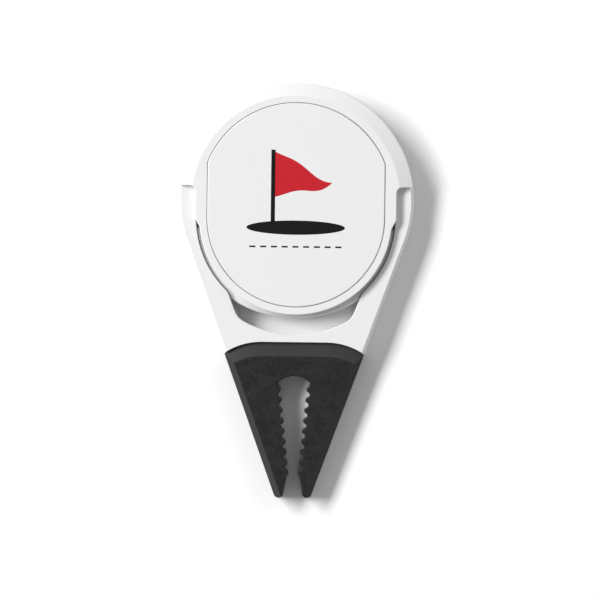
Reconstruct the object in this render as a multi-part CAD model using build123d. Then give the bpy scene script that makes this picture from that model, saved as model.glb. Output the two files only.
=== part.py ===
from build123d import *
import math
import os

# Divot repair tool with a sprung front clip and a lift-out ball marker.
# Lying on its flat back: +X across, +Y from the tine tips to the head, +Z out of the front.
# Origin: middle of the overall length and width, on the back face. All sizes in millimetres.

# Silhouette: a round head running tangentially into two tines
overall_length = 76.0
head_radius = 21.6
tip_radius = 0.9
tip_spread = 2.6  # from the centre line to the middle of a tine tip
back_edge_radius = 0.6
edge_break = 0.15  # on the front edges of the plate, the well and the window
slot_edge_break = 0.18
lip_edge_break = 0.25

# Levels above the back face
body_height = 5.0
clip_rise = 1.5
floor_thickness = 1.2
boss_lift = 0.8  # from the body's floor to the boss and the lip
lip_thickness = 2.0

# Rails of the body
rail_bevel_width = 0.9
rail_bevel_drop = 0.55

# Marker well: the clip plate's round boss in the body's round well, below the head's centre
well_offset = 3.35
well_margin = 4.0  # from the boss to the head's outline
well_clearance = 0.6

# Raised crescent around the top of the head, one piece with the clip plate
crescent_inset = 0.22
crescent_bevel_width = 2.3
crescent_edge_height = 0.7
notch_rise = 2.6  # above the head's centre
notch_corner_radius = 1.2
shoulder_margin = 0.8  # from the boss to the straight sides
shoulder_offset = 3.5  # below the head's centre
shoulder_slope_length = 1.6

# Lift lip at the free end of the clip plate
lip_inset = 0.05  # inside the head's own curve
lip_clearance = 0.16

# Finger window through the body, measured down from the head's centre
window_half_width = 11.65
window_side_offset = 18.4  # the level the half width is taken at
window_side_lean = 21.0
window_arc_radius = 19.5
window_arc_offset = 5.05
window_top_offset = 13.4
window_corner_radius = 3.5
window_blend_radius = 3.0

# Ball marker, steel keeper and magnet
marker_margin = 1.4  # from the marker's lower arc to the boss
marker_low_offset = 0.1  # above the middle of the well
marker_top_offset = 3.75
marker_top_growth = 1.2
marker_thickness = 1.0
marker_corner_radius = 1.5
marker_edge_radius = 0.2
marker_clearance = 0.1
keeper_radius = 5.0
keeper_thickness = 0.4
magnet_radius = 4.0
magnet_thickness = 1.5
magnet_offset = 2.45  # above the middle of the well
seat_clearance = 0.02

# Underside of the clip plate
boss_wall = 1.2
magnet_boss_wall = 1.2
magnet_boss_floor = 0.8
rib_thickness = 1.0

# Clip hinge
pin_radius = 0.75
pin_half_length = 6.5
pin_margin = 3.3  # from the pin to the top of the head
pin_clearance = 0.05
pin_seat_clearance = 0.02
pin_throat_share = 0.87  # of the pin's width
pin_end_chamfer = 0.15
lug_wall = 0.6
lug_thickness = 2.0
lug_side_clearance = 0.2
pocket_back_gap = 0.3
pocket_front_gap = 0.65
opening_angle = 10.0
relief_spare_angle = 1.5
relief_lead = 0.5

# Torsion spring on the hinge pin
spring_wire_radius = 0.18
spring_bore_clearance = 0.22
spring_full_turns = 4
spring_pitch = 0.46
spring_end_clearance = 0.4
spring_leg_length = 1.9
spring_leg_gap = 0.02

# Fork
seam_offset = 25.9  # below the head's centre
seam_flat_half_width = 5.9
seam_radius = 12.4
seam_gap = 0.12
tip_fall = 0.4  # how much thinner the fork gets towards its tips
band_width = 2.5
band_drop = 0.75
side_bevel_width = 1.1
side_bevel_drop = 0.8

# Gripping slot between the tines
slot_top_offset = 6.2  # below the seam
slot_shoulder_drop = 1.3
slot_shoulder_half_width = 2.95
teeth = 9
slot_shoulder_length = 0.725  # from the slot's shoulders to the flank of the first tooth
throat_length = 4.6  # from the last tooth to the tips
first_tooth_half_gap = 2.34
last_tooth_half_gap = 0.8
tooth_height = 0.66

# Tenon of the body in the fork's socket, and its screws
tenon_half_width = 8.2
tenon_depth = 4.6
tenon_thickness = 2.0
tenon_taper = 0.9
tenon_corner_radius = 0.8
socket_clearance = 0.05
screw_x = 5.0
screw_offset = 2.8  # below the seam
screw_shank_radius = 0.6
screw_head_radius = 1.3
screw_head_height = 0.7
screw_length = 3.7
screw_sink = 0.05
screw_clearance = 0.02
drive_slot_width = 0.4
drive_slot_length = 1.7
drive_slot_depth = 0.3

# Derived: outline and levels
half_length = overall_length / 2
head_y = half_length - head_radius
tip_y = tip_radius - half_length
total_height = body_height + clip_rise
tip_height = body_height - tip_fall
boss_bottom = floor_thickness + boss_lift
lip_top = boss_bottom + lip_thickness
deck_floor = total_height - marker_thickness
far = 3 * overall_length  # longer than anything that is trimmed with it
taper_angle = math.asin(
    (head_radius - tip_radius) / math.hypot(tip_spread, head_y - tip_y)
) - math.atan2(tip_spread, head_y - tip_y)
across = (math.cos(taper_angle), -math.sin(taper_angle))  # outward from the right-hand side

# Derived: clip plate and marker
boss_radius = head_radius - well_margin
well_centre_y = head_y - well_offset
crescent_radius = head_radius - crescent_inset
notch_y = head_y + notch_rise
shoulder_half_width = boss_radius + shoulder_margin
shoulder_bottom_y = head_y - shoulder_offset
lip_radius = head_radius - lip_inset
window_side_y = head_y - window_side_offset
window_arc_centre_y = head_y - window_arc_offset
window_top_y = head_y - window_top_offset
marker_half_width = boss_radius - marker_margin
marker_low_centre_y = well_centre_y + marker_low_offset
marker_top_radius = marker_half_width + marker_top_growth
marker_top_centre_y = well_centre_y + marker_top_offset
magnet_y = well_centre_y + magnet_offset

# Derived: hinge
pin_y = half_length - pin_margin
pin_z = (floor_thickness + body_height) / 2
pin_seat_radius = pin_radius + pin_seat_clearance
lug_radius = pin_radius + lug_wall
spring_mean_radius = pin_radius + spring_bore_clearance + spring_wire_radius
spring_half_width = (spring_full_turns + 1) * spring_pitch / 2 + spring_wire_radius
lug_inner_x = spring_half_width + spring_end_clearance

# Derived: fork
seam_y = head_y - seam_offset
slot_top_y = seam_y - slot_top_offset
slot_shoulder_y = slot_top_y - slot_shoulder_drop
last_tooth_y = throat_length - half_length
tooth_pitch = (slot_shoulder_y - slot_shoulder_length - last_tooth_y) / (teeth - 0.75)
first_tooth_y = slot_shoulder_y - slot_shoulder_length - tooth_pitch / 4
tenon_bottom = floor_thickness
screw_y = seam_y - screw_offset


def slab(x_half, y_low, y_high, z_low, z_high):
    """A block centred on the middle plane."""
    block = Box(2 * x_half, y_high - y_low, z_high - z_low)
    return Pos(0, (y_low + y_high) / 2, (z_low + z_high) / 2) * block


def disc(radius, y, z_low, z_high):
    """A cylinder along Z on the middle plane."""
    return Pos(0, y, (z_low + z_high) / 2) * Cylinder(radius, z_high - z_low)


def both_sides(shape):
    """A shape together with its mirror image."""
    return shape + mirror(shape, about=Plane.YZ)


def silhouette():
    """The whole outline: head, two tangent sides and the tine tips."""
    head_right = (head_radius * across[0], head_y + head_radius * across[1])
    tip_right = (tip_spread + tip_radius * across[0], tip_y + tip_radius * across[1])
    tip_lean = (taper_angle - math.pi / 2) / 2 - taper_angle
    tip_mid = (
        tip_spread + tip_radius * math.cos(tip_lean),
        tip_y + tip_radius * math.sin(tip_lean),
    )
    right = [
        Line(head_right, tip_right),
        ThreePointArc(tip_right, tip_mid, (tip_spread, -half_length)),
    ]
    left = [edge.mirror(Plane.YZ) for edge in right]
    head_left = (-head_right[0], head_right[1])
    foot = Line((tip_spread, -half_length), (-tip_spread, -half_length))
    head = ThreePointArc(head_left, (0, half_length), head_right)
    return make_face([*right, foot, *left, head])


def seam_region(top, inset=0.0):
    """The region below the seam: level in the middle, falling away in an arc at each side."""
    radius = seam_radius - inset
    centre_y = top - seam_radius
    end = (seam_flat_half_width + radius, centre_y)
    mid = (
        seam_flat_half_width + radius * math.sin(math.pi / 4),
        centre_y + radius * math.cos(math.pi / 4),
    )
    start = (seam_flat_half_width, centre_y + radius)
    right = [ThreePointArc(start, mid, end), Line(end, (end[0], -far))]
    left = [edge.mirror(Plane.YZ) for edge in right]
    level = Line((-start[0], start[1]), start)
    foot = Line((end[0], -far), (-end[0], -far))
    return make_face([level, *right, foot, *left])


def blank():
    """The teardrop prism that both the body and the fork are cut from."""
    prism = extrude(silhouette(), body_height)
    return fillet(prism.faces().sort_by(Axis.Z)[0].edges(), back_edge_radius)


def boss_region():
    """Plan of the boss that holds the marker."""
    return Pos(0, well_centre_y) * Circle(boss_radius)


def window_region(shrink=0.0):
    """Plan of the finger window: leaning sides on a bottom arc."""
    lean = math.tan(math.radians(window_side_lean))
    radius = window_arc_radius - shrink
    axis_x = window_half_width - shrink / math.cos(math.radians(window_side_lean))
    axis_x += lean * (window_arc_centre_y - window_side_y)
    # where the leaning side, x = axis_x + lean * (y - arc centre), meets the bottom arc
    root = math.sqrt(radius**2 * (1 + lean**2) - axis_x**2)
    drop = (axis_x * lean + root) / (1 + lean**2)
    right_low = (axis_x - lean * drop, window_arc_centre_y - drop)
    right_high = (axis_x + lean * (window_top_y - window_arc_centre_y), window_top_y)
    left_low = (-right_low[0], right_low[1])
    left_high = (-right_high[0], right_high[1])
    outline = [
        ThreePointArc(left_low, (0, window_arc_centre_y - radius), right_low),
        Line(right_low, right_high),
        Line(right_high, left_high),
        Line(left_high, left_low),
    ]
    return fillet(make_face(outline).vertices(), window_corner_radius - shrink)


def on_circle(corner, radius):
    """Whether a corner lies on a circle about the middle of the well."""
    return math.isclose(math.hypot(corner.X, corner.Y - well_centre_y), radius, abs_tol=0.001)


def opening_region(shrink=0.0):
    """Plan of the body's opening: the round well blended into the finger window."""
    well = Pos(0, well_centre_y) * Circle(boss_radius + well_clearance - shrink)
    opening = well + window_region(shrink)
    corners = opening.vertices().filter_by(
        lambda corner: corner.Y < window_top_y and on_circle(corner, well.edge().radius)
    )
    return fillet(corners, window_blend_radius + shrink)


def lip_region():
    """Plan of the lift lip: the head's own curve repeated at the free end, filling the opening."""
    lower_half = Pos(0, shoulder_bottom_y - shoulder_slope_length) * Rectangle(
        far, far, align=(Align.CENTER, Align.MAX)
    )
    return (Pos(0, head_y) * Circle(lip_radius)) & opening_region(lip_clearance) & lower_half


def tenon_region(grow=0.0):
    """Plan of the tongue that the body pushes into the fork."""
    wide = tenon_half_width + grow
    narrow = wide - tenon_taper
    low = seam_y - tenon_depth - grow
    high = seam_y + back_edge_radius
    outline = Polyline((-wide, high), (-narrow, low), (narrow, low), (wide, high), close=True)
    tongue = make_face(outline)
    return fillet(tongue.vertices().group_by(Axis.Y)[0], tenon_corner_radius)


def hinge_pocket():
    """Pocket for the hinge lugs and the spring, with the pin's snap-in seats."""
    pocket_half_width = lug_inner_x + lug_thickness + lug_side_clearance
    low = pin_y - lug_radius - pocket_back_gap
    high = pin_y + lug_radius + pocket_front_gap
    pocket = slab(pocket_half_width, low, high, floor_thickness, far)
    seat_half_length = pin_half_length + pin_seat_clearance
    seat = Rot(Y=90) * Cylinder(pin_seat_radius, 2 * seat_half_length)
    half_throat = pin_throat_share * pin_radius
    throat = slab(seat_half_length, pin_y - half_throat, pin_y + half_throat, pin_z, far)
    return pocket + Pos(0, pin_y, pin_z) * seat + throat


def hinge_relief():
    """Wedge that lets the crescent's outer edge dip when the clip opens."""
    wedge = Pos(0, far / 2, far / 2) * Box(far, far, far)
    turned = Rot(X=-(opening_angle + relief_spare_angle)) * wedge
    return Pos(0, pin_y - relief_lead, body_height) * turned


def body_frame():
    body = blank() - Pos(0, 0, -far / 2) * extrude(seam_region(seam_y), far)
    front_edges = body.faces().sort_by(Axis.Z)[-1].edges()
    outer_edges = front_edges.filter_by(lambda edge: edge.center().Y > seam_y / 2)
    body = chamfer(outer_edges, rail_bevel_drop, rail_bevel_width)
    body -= Pos(0, 0, floor_thickness) * extrude(opening_region(), far)
    front = body.faces().sort_by(Axis.Z)[-1]
    body = chamfer(front.inner_wires()[0].edges(), edge_break)
    body -= Pos(0, 0, -far / 2) * extrude(window_region(), far)
    body -= hinge_pocket()
    body -= hinge_relief()
    body += Pos(0, 0, tenon_bottom) * extrude(tenon_region(), tenon_thickness)
    hole = Pos(screw_x, screw_y, 0) * Cylinder(screw_shank_radius + screw_clearance, far)
    return body - both_sides(hole)


def slot_region():
    """Plan of the toothed slot, running out between the tine tips."""
    lean = (first_tooth_half_gap - last_tooth_half_gap) / (first_tooth_y - last_tooth_y)

    def on_line(y, step):
        """Point at height y, a share of the tooth height out from the line of tooth tips."""
        return (first_tooth_half_gap - lean * (first_tooth_y - y) + step * tooth_height, y)

    shoulder = (slot_shoulder_half_width, slot_shoulder_y)
    crossing = on_line(first_tooth_y + tooth_pitch / 4, 0.5)
    edges = [Line(shoulder, crossing)]
    for count in range(2 * teeth - 1):
        middle_y = first_tooth_y - count * tooth_pitch / 2
        crest = on_line(middle_y, count % 2)
        following = on_line(middle_y - tooth_pitch / 4, 0.5)
        edges.append(ThreePointArc(crossing, crest, following))
        crossing = following
    tip_inner = (tip_spread - tip_radius, tip_y)
    tip_mid = (tip_spread - tip_radius / math.sqrt(2), tip_y - tip_radius / math.sqrt(2))
    tip_foot = (tip_spread, -half_length)
    edges.append(Line(crossing, tip_inner))
    edges.append(ThreePointArc(tip_inner, tip_mid, tip_foot))
    edges.append(Line(tip_foot, (tip_spread, -overall_length)))
    top = ThreePointArc((-shoulder[0], shoulder[1]), (0, slot_top_y), shoulder)
    foot = Line((tip_spread, -overall_length), (-tip_spread, -overall_length))
    return make_face([*edges, foot, *[edge.mirror(Plane.YZ) for edge in edges], top])


def fork_front():
    """Everything behind the fork's sloping front face, its upper band and its side bevels."""
    fall = (body_height - tip_height) / (seam_y + half_length)
    front = make_face(
        Polyline(
            (seam_y + overall_length, -1),
            (seam_y + overall_length, body_height + fall * overall_length),
            (-overall_length, body_height - fall * (seam_y + overall_length)),
            (-overall_length, -1),
            close=True,
        )
    )
    core = extrude(Plane.YZ * front, far, both=True)
    top = seam_y - seam_gap
    band_start = body_height - fall * band_width - band_drop
    rise = band_drop / band_width
    steps = 2 * band_width
    low = seam_region(top)
    high = Pos(0, 0, rise * steps) * seam_region(top, steps)
    mound = Pos(0, 0, band_start) * loft([low, high], ruled=True)
    core &= mound + extrude(low, band_start)
    run = Vector(-math.sin(taper_angle), -math.cos(taper_angle), -fall * math.cos(taper_angle))
    reach = Vector(across[0], across[1], 0)
    start = Vector(head_radius * across[0], head_y + head_radius * across[1], 0)
    start += Vector(0, 0, body_height + fall * (start.Y - seam_y))
    outer = start - Vector(0, 0, side_bevel_drop)
    inner = start - reach * side_bevel_width
    out_low = outer + (outer - inner)
    out_high = inner + (inner - outer)
    corner = Vector(out_low.X, out_low.Y, out_high.Z + body_height)
    high_corner = Vector(out_high.X, out_high.Y, corner.Z)
    section = make_face(Polyline(out_low, out_high, high_corner, corner, close=True))
    bevel = extrude(section, far, dir=run)
    return core - both_sides(bevel)


def on_slot_front(edge):
    """Whether an edge runs along the front of the slot, above the tine tips."""
    middle = edge.center()
    beside = abs(middle.X) < slot_shoulder_half_width + tooth_height / 2
    along = tip_y < middle.Y < slot_top_y + tooth_height
    level = abs(edge.tangent_at(0.5).Z) < 0.5
    return beside and along and level and middle.Z > tip_height - side_bevel_drop / 2


def fork():
    fork_top = seam_y - seam_gap
    solid = blank() & extrude(seam_region(fork_top), body_height)
    solid &= fork_front()
    solid -= Pos(0, 0, -far / 2) * extrude(slot_region(), far)
    solid = chamfer(solid.edges().filter_by(on_slot_front), slot_edge_break)
    socket_height = tenon_thickness + 2 * socket_clearance
    socket = extrude(tenon_region(socket_clearance), socket_height)
    solid -= Pos(0, 0, tenon_bottom - socket_clearance) * socket
    return solid - both_sides(screw_space())


def screw(grow=0.0, drive=True):
    """A countersunk screw driven in from the back, or the space it needs."""
    shank = screw_shank_radius + grow
    head = screw_head_radius + grow
    cone_height = screw_head_height * (head - shank) / (screw_head_radius - screw_shank_radius)
    base = -grow if drive else -screw_sink - grow
    cone = Pos(0, 0, cone_height / 2) * Cone(head, shank, cone_height)
    length = screw_length + grow
    body = Pos(0, 0, length / 2) * Cylinder(shank, length)
    whole = cone + body
    if drive:
        cut = Box(drive_slot_width, drive_slot_length, 2 * drive_slot_depth)
        whole -= cut + Rot(Z=90) * cut
    else:
        whole += Pos(0, 0, base / 2) * Cylinder(head, -base)
    return Pos(screw_x, screw_y, screw_sink) * whole


def screw_space():
    return screw(screw_clearance, drive=False)


def fork_screws():
    return both_sides(screw())


def rim():
    """Full disc of the raised rim, with its wide outer bevel."""
    edge_top = body_height + crescent_edge_height
    bevel_height = total_height - edge_top
    edge = disc(crescent_radius, head_y, body_height, edge_top)
    slope = Cone(crescent_radius, crescent_radius - crescent_bevel_width, bevel_height)
    return edge + Pos(0, head_y, edge_top + bevel_height / 2) * slope


def crescent():
    """Raised rim around the top of the head, ending level at the notches."""
    return rim() & slab(far, notch_y, far, 0, far)


def shoulders():
    """Straight-sided part of the plate between the notches and the boss."""
    low_y = shoulder_bottom_y - shoulder_slope_length
    low_x = math.sqrt(boss_radius**2 - (low_y - well_centre_y) ** 2)
    outline = Polyline(
        (-low_x, low_y),
        (low_x, low_y),
        (shoulder_half_width, shoulder_bottom_y),
        (shoulder_half_width, notch_y),
        (-shoulder_half_width, notch_y),
        (-shoulder_half_width, shoulder_bottom_y),
        close=True,
    )
    return Pos(0, 0, body_height) * extrude(make_face(outline), clip_rise)


def notch_fillet():
    """Rounded inner corner where the plate meets the crescent."""
    centre = (shoulder_half_width + notch_corner_radius, notch_y - notch_corner_radius)
    square = Pos(*centre) * Rectangle(
        notch_corner_radius, notch_corner_radius, align=(Align.MAX, Align.MIN)
    )
    corner = square - Pos(*centre) * Circle(notch_corner_radius)
    return rim() & Pos(0, 0, body_height) * extrude(corner, clip_rise)


def marker_region(grow=0.0):
    """Plan of the marker: two flats between a lower and a slightly larger upper arc."""
    half_width = marker_half_width + grow
    top_radius = marker_top_radius + grow
    side_top = marker_top_centre_y + math.sqrt(top_radius**2 - half_width**2)
    low = (0, marker_low_centre_y - half_width)
    high = (0, marker_top_centre_y + top_radius)
    outline = [
        ThreePointArc((-half_width, marker_low_centre_y), low, (half_width, marker_low_centre_y)),
        Line((half_width, marker_low_centre_y), (half_width, side_top)),
        ThreePointArc((half_width, side_top), high, (-half_width, side_top)),
        Line((-half_width, side_top), (-half_width, marker_low_centre_y)),
    ]
    face = make_face(outline)
    return fillet(face.vertices().group_by(Axis.Y)[-1], marker_corner_radius)


def hinge_lug():
    """One ear of the clip plate around the hinge pin."""
    ear = Rot(Y=90) * Cylinder(lug_radius, lug_thickness)
    height = body_height - pin_z
    post = Pos(0, 0, height / 2) * Box(lug_thickness, 2 * lug_radius, height)
    bore = Rot(Y=90) * Cylinder(pin_radius + pin_clearance, 2 * lug_thickness)
    return Pos(lug_inner_x + lug_thickness / 2, pin_y, pin_z) * (ear + post - bore)


def lip():
    """The lift lip, with its free edge broken."""
    blade = Pos(0, 0, boss_bottom) * extrude(lip_region(), lip_top - boss_bottom)
    top = blade.faces().sort_by(Axis.Z)[-1]
    return chamfer(top.edges().sort_by(Axis.Y)[0], lip_edge_break)


def clip_plate():
    plate = crescent() + shoulders() + both_sides(notch_fillet())
    plate += Pos(0, 0, boss_bottom) * extrude(boss_region(), total_height - boss_bottom)
    free_edges = plate.faces().sort_by(Axis.Z)[-1].outer_wire().edges()
    free_edges = free_edges.filter_by(lambda edge: edge.center().Y < notch_y - notch_corner_radius)
    plate = chamfer(free_edges, edge_break)
    plate += lip()
    plate -= disc(boss_radius - boss_wall, well_centre_y, 0, body_height)
    boss_floor = deck_floor - magnet_thickness - magnet_boss_floor
    plate += disc(magnet_radius + magnet_boss_wall, magnet_y, boss_floor, deck_floor)
    rib_length = boss_radius - boss_wall / 2
    rib_low = well_centre_y - rib_length
    rib_high = well_centre_y + rib_length
    plate += slab(rib_thickness / 2, rib_low, rib_high, boss_floor, body_height)
    rib_low = magnet_y - rib_thickness / 2
    plate += slab(rib_length, rib_low, rib_low + rib_thickness, boss_floor, body_height)
    plate -= Pos(0, 0, deck_floor) * extrude(marker_region(marker_clearance), far)
    plate -= disc(magnet_radius + seat_clearance, magnet_y, deck_floor - magnet_thickness, far)
    return plate + both_sides(hinge_lug())


def magnet():
    return disc(magnet_radius, magnet_y, deck_floor - magnet_thickness, deck_floor)


def hinge_pin():
    rod = Cylinder(pin_radius, 2 * pin_half_length)
    pin = chamfer(rod.edges().filter_by(GeomType.CIRCLE), pin_end_chamfer)
    return Pos(0, pin_y, pin_z) * Rot(Y=90) * pin


def clip_spring():
    """Torsion spring whose two legs push the pocket floor and the crescent apart."""
    leg_height = body_height - pin_z - spring_wire_radius - spring_leg_gap
    span = math.hypot(spring_mean_radius, spring_leg_length)
    lean = math.atan2(spring_leg_length, spring_mean_radius) - math.acos(leg_height / span)
    turns = spring_full_turns + 0.5 - lean / math.pi
    height = turns * spring_pitch
    helix = Helix(spring_pitch, height, spring_mean_radius, lefthand=True)
    coil = (Rot(X=-math.degrees(lean)) * Rot(Y=90) * Pos(0, 0, -height / 2) * helix).edge()
    low_leg = Line(coil @ 0 - (coil % 0) * spring_leg_length, coil @ 0)
    high_leg = Line(coil @ 1, coil @ 1 + (coil % 1) * spring_leg_length)
    path = Wire([low_leg, coil, high_leg])
    section = Plane(origin=path @ 0, z_dir=path % 0) * Circle(spring_wire_radius)
    return Pos(0, pin_y, pin_z) * sweep(section, path=path)


def ball_marker():
    marker = extrude(marker_region(), marker_thickness)
    marker = fillet(marker.faces().sort_by(Axis.Z)[-1].edges(), marker_edge_radius)
    marker = Pos(0, 0, deck_floor) * marker
    recess_top = deck_floor + keeper_thickness
    return marker - disc(keeper_radius + seat_clearance, magnet_y, 0, recess_top)


def marker_keeper():
    return disc(keeper_radius, magnet_y, deck_floor, deck_floor + keeper_thickness)


parts = {
    "body_frame": body_frame,
    "fork": fork,
    "fork_screws": fork_screws,
    "hinge_pin": hinge_pin,
    "clip_spring": clip_spring,
    "clip_plate": clip_plate,
    "magnet": magnet,
    "ball_marker": ball_marker,
    "marker_keeper": marker_keeper,
}
os.makedirs("parts", exist_ok=True)
for name, make in parts.items():
    export_step(make(), f"parts/{name}.step")
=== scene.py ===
import bpy, bmesh, math
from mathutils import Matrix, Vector


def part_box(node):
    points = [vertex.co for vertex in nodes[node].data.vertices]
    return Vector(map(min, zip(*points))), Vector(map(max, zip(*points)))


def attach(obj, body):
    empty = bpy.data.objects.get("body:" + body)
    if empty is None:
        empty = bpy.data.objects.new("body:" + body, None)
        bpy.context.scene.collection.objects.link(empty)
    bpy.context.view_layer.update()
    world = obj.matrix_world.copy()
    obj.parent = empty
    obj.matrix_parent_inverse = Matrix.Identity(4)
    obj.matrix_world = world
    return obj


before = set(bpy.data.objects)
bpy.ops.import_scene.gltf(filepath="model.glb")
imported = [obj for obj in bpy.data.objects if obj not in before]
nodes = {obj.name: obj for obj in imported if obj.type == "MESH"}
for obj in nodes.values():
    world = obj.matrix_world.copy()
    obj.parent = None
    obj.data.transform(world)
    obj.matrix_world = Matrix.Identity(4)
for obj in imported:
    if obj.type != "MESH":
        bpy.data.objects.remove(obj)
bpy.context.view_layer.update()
MM = 0.001
MIX_FROM, MIX_TO, MIX_COLOUR = 6, 7, 2  # colour sockets of a mix node, whose names repeat


# ---------- materials ----------
class Shader:
    """A node material with one Principled shader and textures in the object's own coordinates."""

    def __init__(self, name, colour, rough, metallic=0.0, specular=0.5, **sockets):
        self.mat = bpy.data.materials.new(name)
        self.mat.use_nodes = True
        self.tree = self.mat.node_tree
        self.bsdf = self.tree.nodes["Principled BSDF"]
        self.colour = colour
        self.bsdf.inputs["Base Color"].default_value = (*colour, 1)
        self.bsdf.inputs["Roughness"].default_value = rough
        self.bsdf.inputs["Metallic"].default_value = metallic
        self.bsdf.inputs["Specular IOR Level"].default_value = specular
        for key, value in sockets.items():
            self.bsdf.inputs[key.replace("_", " ")].default_value = value
        self.coords = self.node("ShaderNodeTexCoord").outputs["Object"]
        self.normal = None

    def node(self, kind, **settings):
        """A new node; settings that start with i_ are its inputs."""
        made = self.tree.nodes.new(kind)
        for key, value in settings.items():
            if key.startswith("i_"):
                made.inputs[key[2:].replace("_", " ")].default_value = value
            else:
                setattr(made, key, value)
        return made

    def link(self, a, b):
        self.tree.links.new(a, b)

    def mapped(self, stretch):
        place = self.node("ShaderNodeMapping")
        place.inputs["Scale"].default_value = stretch
        self.link(self.coords, place.inputs["Vector"])
        return place.outputs["Vector"]

    def noise(self, size, detail=3.0, rough=0.5, stretch=(1, 1, 1)):
        """Noise whose features are about size metres across."""
        tex = self.node("ShaderNodeTexNoise", i_Scale=1.0 / size)
        tex.inputs["Detail"].default_value = detail
        tex.inputs["Roughness"].default_value = rough
        self.link(self.mapped(stretch), tex.inputs["Vector"])
        return tex.outputs["Fac"]

    def ranged(self, value, low, high, start=0.3, end=0.7):
        span = self.node("ShaderNodeMapRange", clamp=True)
        span.inputs["From Min"].default_value = start
        span.inputs["From Max"].default_value = end
        span.inputs["To Min"].default_value = low
        span.inputs["To Max"].default_value = high
        self.link(value, span.inputs["Value"])
        return span.outputs["Result"]

    def tint(self, value, other):
        """Colour runs from what it was so far to another as value goes from 0 to 1."""
        mix = self.node("ShaderNodeMix", data_type="RGBA")
        base_colour = self.bsdf.inputs["Base Color"]
        mix.inputs[MIX_FROM].default_value = (*self.colour, 1)
        for earlier in base_colour.links:
            self.link(earlier.from_socket, mix.inputs[MIX_FROM])
        mix.inputs[MIX_TO].default_value = (*other, 1)
        self.link(value, mix.inputs["Factor"])
        self.link(mix.outputs[MIX_COLOUR], base_colour)

    def roughen(self, value, low, high):
        self.link(self.ranged(value, low, high), self.bsdf.inputs["Roughness"])

    def slopes(self, low=0.97, high=0.999):
        """1 on faces that slope away from +Z, 0 on level ones."""
        split = self.node("ShaderNodeSeparateXYZ")
        self.link(self.node("ShaderNodeTexCoord").outputs["Normal"], split.inputs["Vector"])
        return self.ranged(split.outputs["Z"], 1.0, 0.0, low, high)

    def bump(self, value, depth, strength=1.0):
        """Relief of about depth metres."""
        made = self.node("ShaderNodeBump", i_Strength=strength, i_Distance=depth)
        self.link(value, made.inputs["Height"])
        if self.normal:
            self.link(self.normal, made.inputs["Normal"])
        self.normal = made.outputs["Normal"]
        self.link(self.normal, self.bsdf.inputs["Normal"])


def moulded_white(name, colour, rough):
    """Satin moulded plastic: faint cloudiness, tiny orange peel and a trace of handling."""
    s = Shader(name, colour, rough, specular=0.5)
    s.tint(s.ranged(s.noise(0.009, 2.0), 0.0, 0.35), tuple(0.965 * c for c in colour))
    s.tint(s.ranged(s.noise(0.0006, 2.0), 0.0, 0.25), tuple(min(1, 1.02 * c) for c in colour))
    s.roughen(s.noise(0.0035, 4.0, 0.6), rough - 0.05, rough + 0.07)
    s.bump(s.noise(0.00035, 3.0, 0.55), 0.000004, 0.5)
    s.bump(s.noise(0.004, 2.0), 0.00001, 0.35)
    return s.mat


def eroded_black(name):
    """Black nylon off a spark-eroded tool: fine grain with dull grey scuffs, plus a painted
    highlight that turns every sloped face lighter grey.
    """
    s = Shader(name, (0.0085, 0.0085, 0.009), 0.5, specular=0.28)
    s.tint(s.ranged(s.noise(0.0026, 5.0, 0.7), 0.0, 1.0, 0.42, 0.7), (0.019, 0.019, 0.02))
    s.tint(s.ranged(s.noise(0.0005, 3.0, 0.6), 0.0, 0.8, 0.5, 0.75), (0.026, 0.026, 0.027))
    # painted highlight: faces sloping away from +Z (bevels, chamfers and walls) get a lighter grey
    # that stands in for the light they catch
    s.tint(s.slopes(), (0.032, 0.032, 0.033))
    s.roughen(s.noise(0.0016, 4.0, 0.65), 0.42, 0.6)
    s.bump(s.noise(0.00022, 3.0, 0.6), 0.00003, 0.55)
    s.bump(s.noise(0.0012, 3.0, 0.6), 0.00003, 0.35)
    return s.mat


def metal(name, colour, rough, stretch=(1, 1, 1)):
    """Bright metal with fine drawing or turning marks."""
    s = Shader(name, colour, rough, metallic=1.0)
    s.tint(s.ranged(s.noise(0.0008, 3.0), 0.0, 0.5), tuple(0.8 * c for c in colour))
    s.roughen(s.noise(0.0004, 3.0, 0.6, stretch), rough - 0.08, rough + 0.12)
    s.bump(s.noise(0.0003, 2.0, 0.5, stretch), 0.000003, 0.5)
    return s.mat


def ink(name, colour):
    """Screen-printed ink: slightly uneven film with a soft gloss."""
    s = Shader(name, colour, 0.5, specular=0.2)
    s.tint(s.ranged(s.noise(0.0011, 3.0), 0.0, 0.5), tuple(min(1, 1.12 * c + 0.002) for c in colour))
    s.roughen(s.noise(0.0005, 3.0), 0.45, 0.6)
    s.bump(s.noise(0.00012, 2.0), 0.000003, 0.4)
    return s.mat


# ---------- one material for each node of the frame ----------
body_white = moulded_white("body_white_abs", (0.775, 0.775, 0.778), 0.42)
clip_white = moulded_white("clip_white_abs", (0.775, 0.775, 0.778), 0.40)
marker_white = moulded_white("marker_white", (0.772, 0.772, 0.775), 0.36)
fork_black = eroded_black("fork_black_nylon")
skins = {
    "body_frame": body_white,
    "clip_plate": clip_white,
    "ball_marker": marker_white,
    "fork": fork_black,
    "fork_screws": metal("screw_zinc", (0.60, 0.60, 0.62), 0.32),
    "hinge_pin": metal("pin_steel", (0.58, 0.58, 0.60), 0.25, (1, 8, 8)),
    "clip_spring": metal("spring_wire", (0.50, 0.50, 0.52), 0.30),
    "magnet": metal("magnet_nickel", (0.66, 0.64, 0.60), 0.18),
    "marker_keeper": metal("keeper_tinplate", (0.60, 0.60, 0.60), 0.28, (1, 10, 1)),
}

for node, material in skins.items():
    nodes[node].data.materials.clear()
    nodes[node].data.materials.append(material)


# ---------- printed emblem on the marker ----------
marker_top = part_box("ball_marker")[1][2]
FILM = 0.012 * MM  # half the ink's thickness


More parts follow.
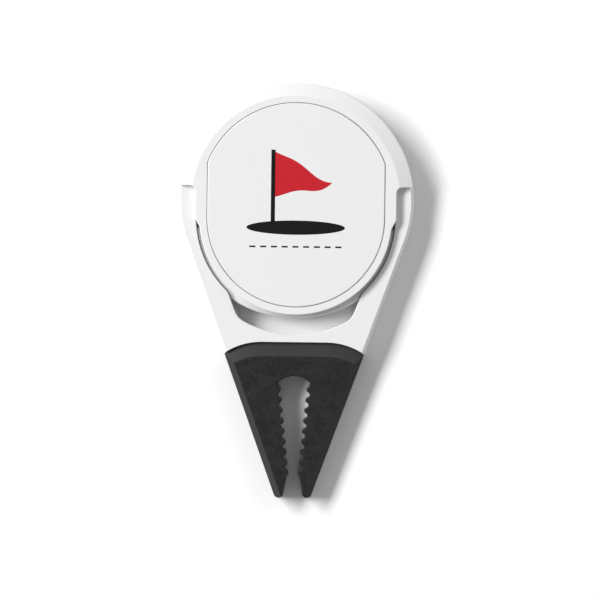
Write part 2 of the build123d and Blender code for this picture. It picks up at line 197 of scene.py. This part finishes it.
def printed(name, outlines, material):
    """A thin film of ink on the marker, from closed outlines in metres."""
    mesh = bpy.data.meshes.new(name)
    bm = bmesh.new()
    for outline in outlines:
        low = [bm.verts.new((x, y, marker_top - FILM)) for x, y in outline]
        high = [bm.verts.new((x, y, marker_top + FILM)) for x, y in outline]
        bm.faces.new(high)
        bm.faces.new(list(reversed(low)))
        count = len(outline)
        for i in range(count):
            j = (i + 1) % count
            bm.faces.new((low[i], low[j], high[j], high[i]))
    bmesh.ops.recalc_face_normals(bm, faces=bm.faces)
    bm.to_mesh(mesh)
    bm.free()
    mesh.materials.append(material)
    piece = bpy.data.objects.new(name, mesh)
    bpy.context.scene.collection.objects.link(piece)
    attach(piece, "marker")
    return piece


def pennant(x, top, length, height, sag, steps=28):
    """A waving pennant flying to the right of its pole."""
    upper = []
    lower = []
    for i in range(steps + 1):
        t = i / steps
        wave = sag * math.sin(2 * math.pi * t) * t
        half = 0.5 * height * (1 - t) ** 0.92
        middle = top - 0.5 * height - 0.18 * height * t + wave
        upper.append((x + length * t, middle + half))
        lower.append((x + length * t, middle - half))
    return upper + list(reversed(lower[:-1]))


def bar(x0, x1, y0, y1):
    """A rectangle."""
    return [(x0, y0), (x1, y0), (x1, y1), (x0, y1)]


def lens(y, half_width, half_height, steps=72):
    """An ellipse on the middle line."""
    turns = [2 * math.pi * i / steps for i in range(steps)]
    return [(half_width * math.cos(turn), y + half_height * math.sin(turn)) for turn in turns]


red = ink("ink_red", (0.50, 0.011, 0.020))
black = ink("ink_black", (0.003, 0.003, 0.0033))
pole_x = -4.2 * MM
pole_half = 0.38 * MM
pole_low = 12.45 * MM
pole_high = 25.6 * MM
flag_top = 25.2 * MM
flag_length = 10.4 * MM
flag_height = 8.2 * MM
flag_sag = 0.9 * MM
green_y = 11.4 * MM
green_half_width = 9.0 * MM
green_half_height = 1.3 * MM
dash_count = 9
dash_pitch = 1.96 * MM
dash_length = 1.1 * MM
dash_low = 7.75 * MM
dash_high = 8.05 * MM
dash_start = -8.4 * MM
flag = pennant(pole_x + pole_half, flag_top, flag_length, flag_height, flag_sag)
dash_lefts = [dash_start + dash_pitch * i for i in range(dash_count)]
printed("emblem_flag", [flag], red)
printed("emblem_pole", [bar(pole_x - pole_half, pole_x + pole_half, pole_low, pole_high)], black)
printed("emblem_green", [lens(green_y, green_half_width, green_half_height)], black)
printed("emblem_rule", [bar(x, x + dash_length, dash_low, dash_high) for x in dash_lefts], black)

# ---------- floor, light, camera ----------
FLOOR_SIZE = 3.0
FLOOR_DROP = 0.02 * MM  # below the part's back, so the two never share a plane
bpy.ops.mesh.primitive_plane_add(size=FLOOR_SIZE, location=(0, 0, -FLOOR_DROP))
floor = bpy.context.object
floor.name = "floor"
floor.data.materials.append(Shader("floor_paper", (0.95, 0.95, 0.95), 0.9, specular=0.1).mat)

scene = bpy.context.scene
scene.view_settings.view_transform = "Standard"
world = bpy.data.worlds.new("studio")
scene.world = world
world.use_nodes = True
world.node_tree.nodes["Background"].inputs["Color"].default_value = (1, 1, 1, 1)
world.node_tree.nodes["Background"].inputs["Strength"].default_value = 0.30


def lamp(name, data, direction):
    """Puts light data in the scene, shining along a direction."""
    made = bpy.data.objects.new(name, data)
    scene.collection.objects.link(made)
    made.rotation_euler = Vector(direction).to_track_quat("-Z", "Y").to_euler()
    return made


def sun(name, strength, direction, angle):
    """A distant light whose disc is angle degrees wide."""
    data = bpy.data.lights.new(name, "SUN")
    data.energy = strength
    data.angle = math.radians(angle)
    lamp(name, data, direction)


def softbox(name, power, direction, reach, length, width):
    """A rectangular studio light, long side level, reach metres from the object."""
    data = bpy.data.lights.new(name, "AREA")
    data.shape = "RECTANGLE"
    data.size = length
    data.size_y = width
    data.energy = power
    lamp(name, data, direction).location = -Vector(direction).normalized() * reach


softbox("key", 47.5, (0.96, -0.39, -0.94), 2.0, 1.4, 0.5)
sun("fill", 0.5, (-0.75, -0.8, -0.6), 50)

IMAGE_WIDTH = 600 * 0.1838 * MM  # metres across the picture, at the object
CAMERA_HEIGHT = 0.9
CAMERA_X = 0.95 * MM
CAMERA_Y = -1.79 * MM
CAMERA_ROLL = 0.0119
camera_data = bpy.data.cameras.new("camera")
camera_data.sensor_width = 36.0
camera_data.lens = camera_data.sensor_width * CAMERA_HEIGHT / IMAGE_WIDTH
camera_data.clip_start = 0.01
camera = bpy.data.objects.new("camera", camera_data)
scene.collection.objects.link(camera)
camera.location = (CAMERA_X, CAMERA_Y, CAMERA_HEIGHT)
camera.rotation_euler = (0, 0, CAMERA_ROLL)
scene.camera = camera
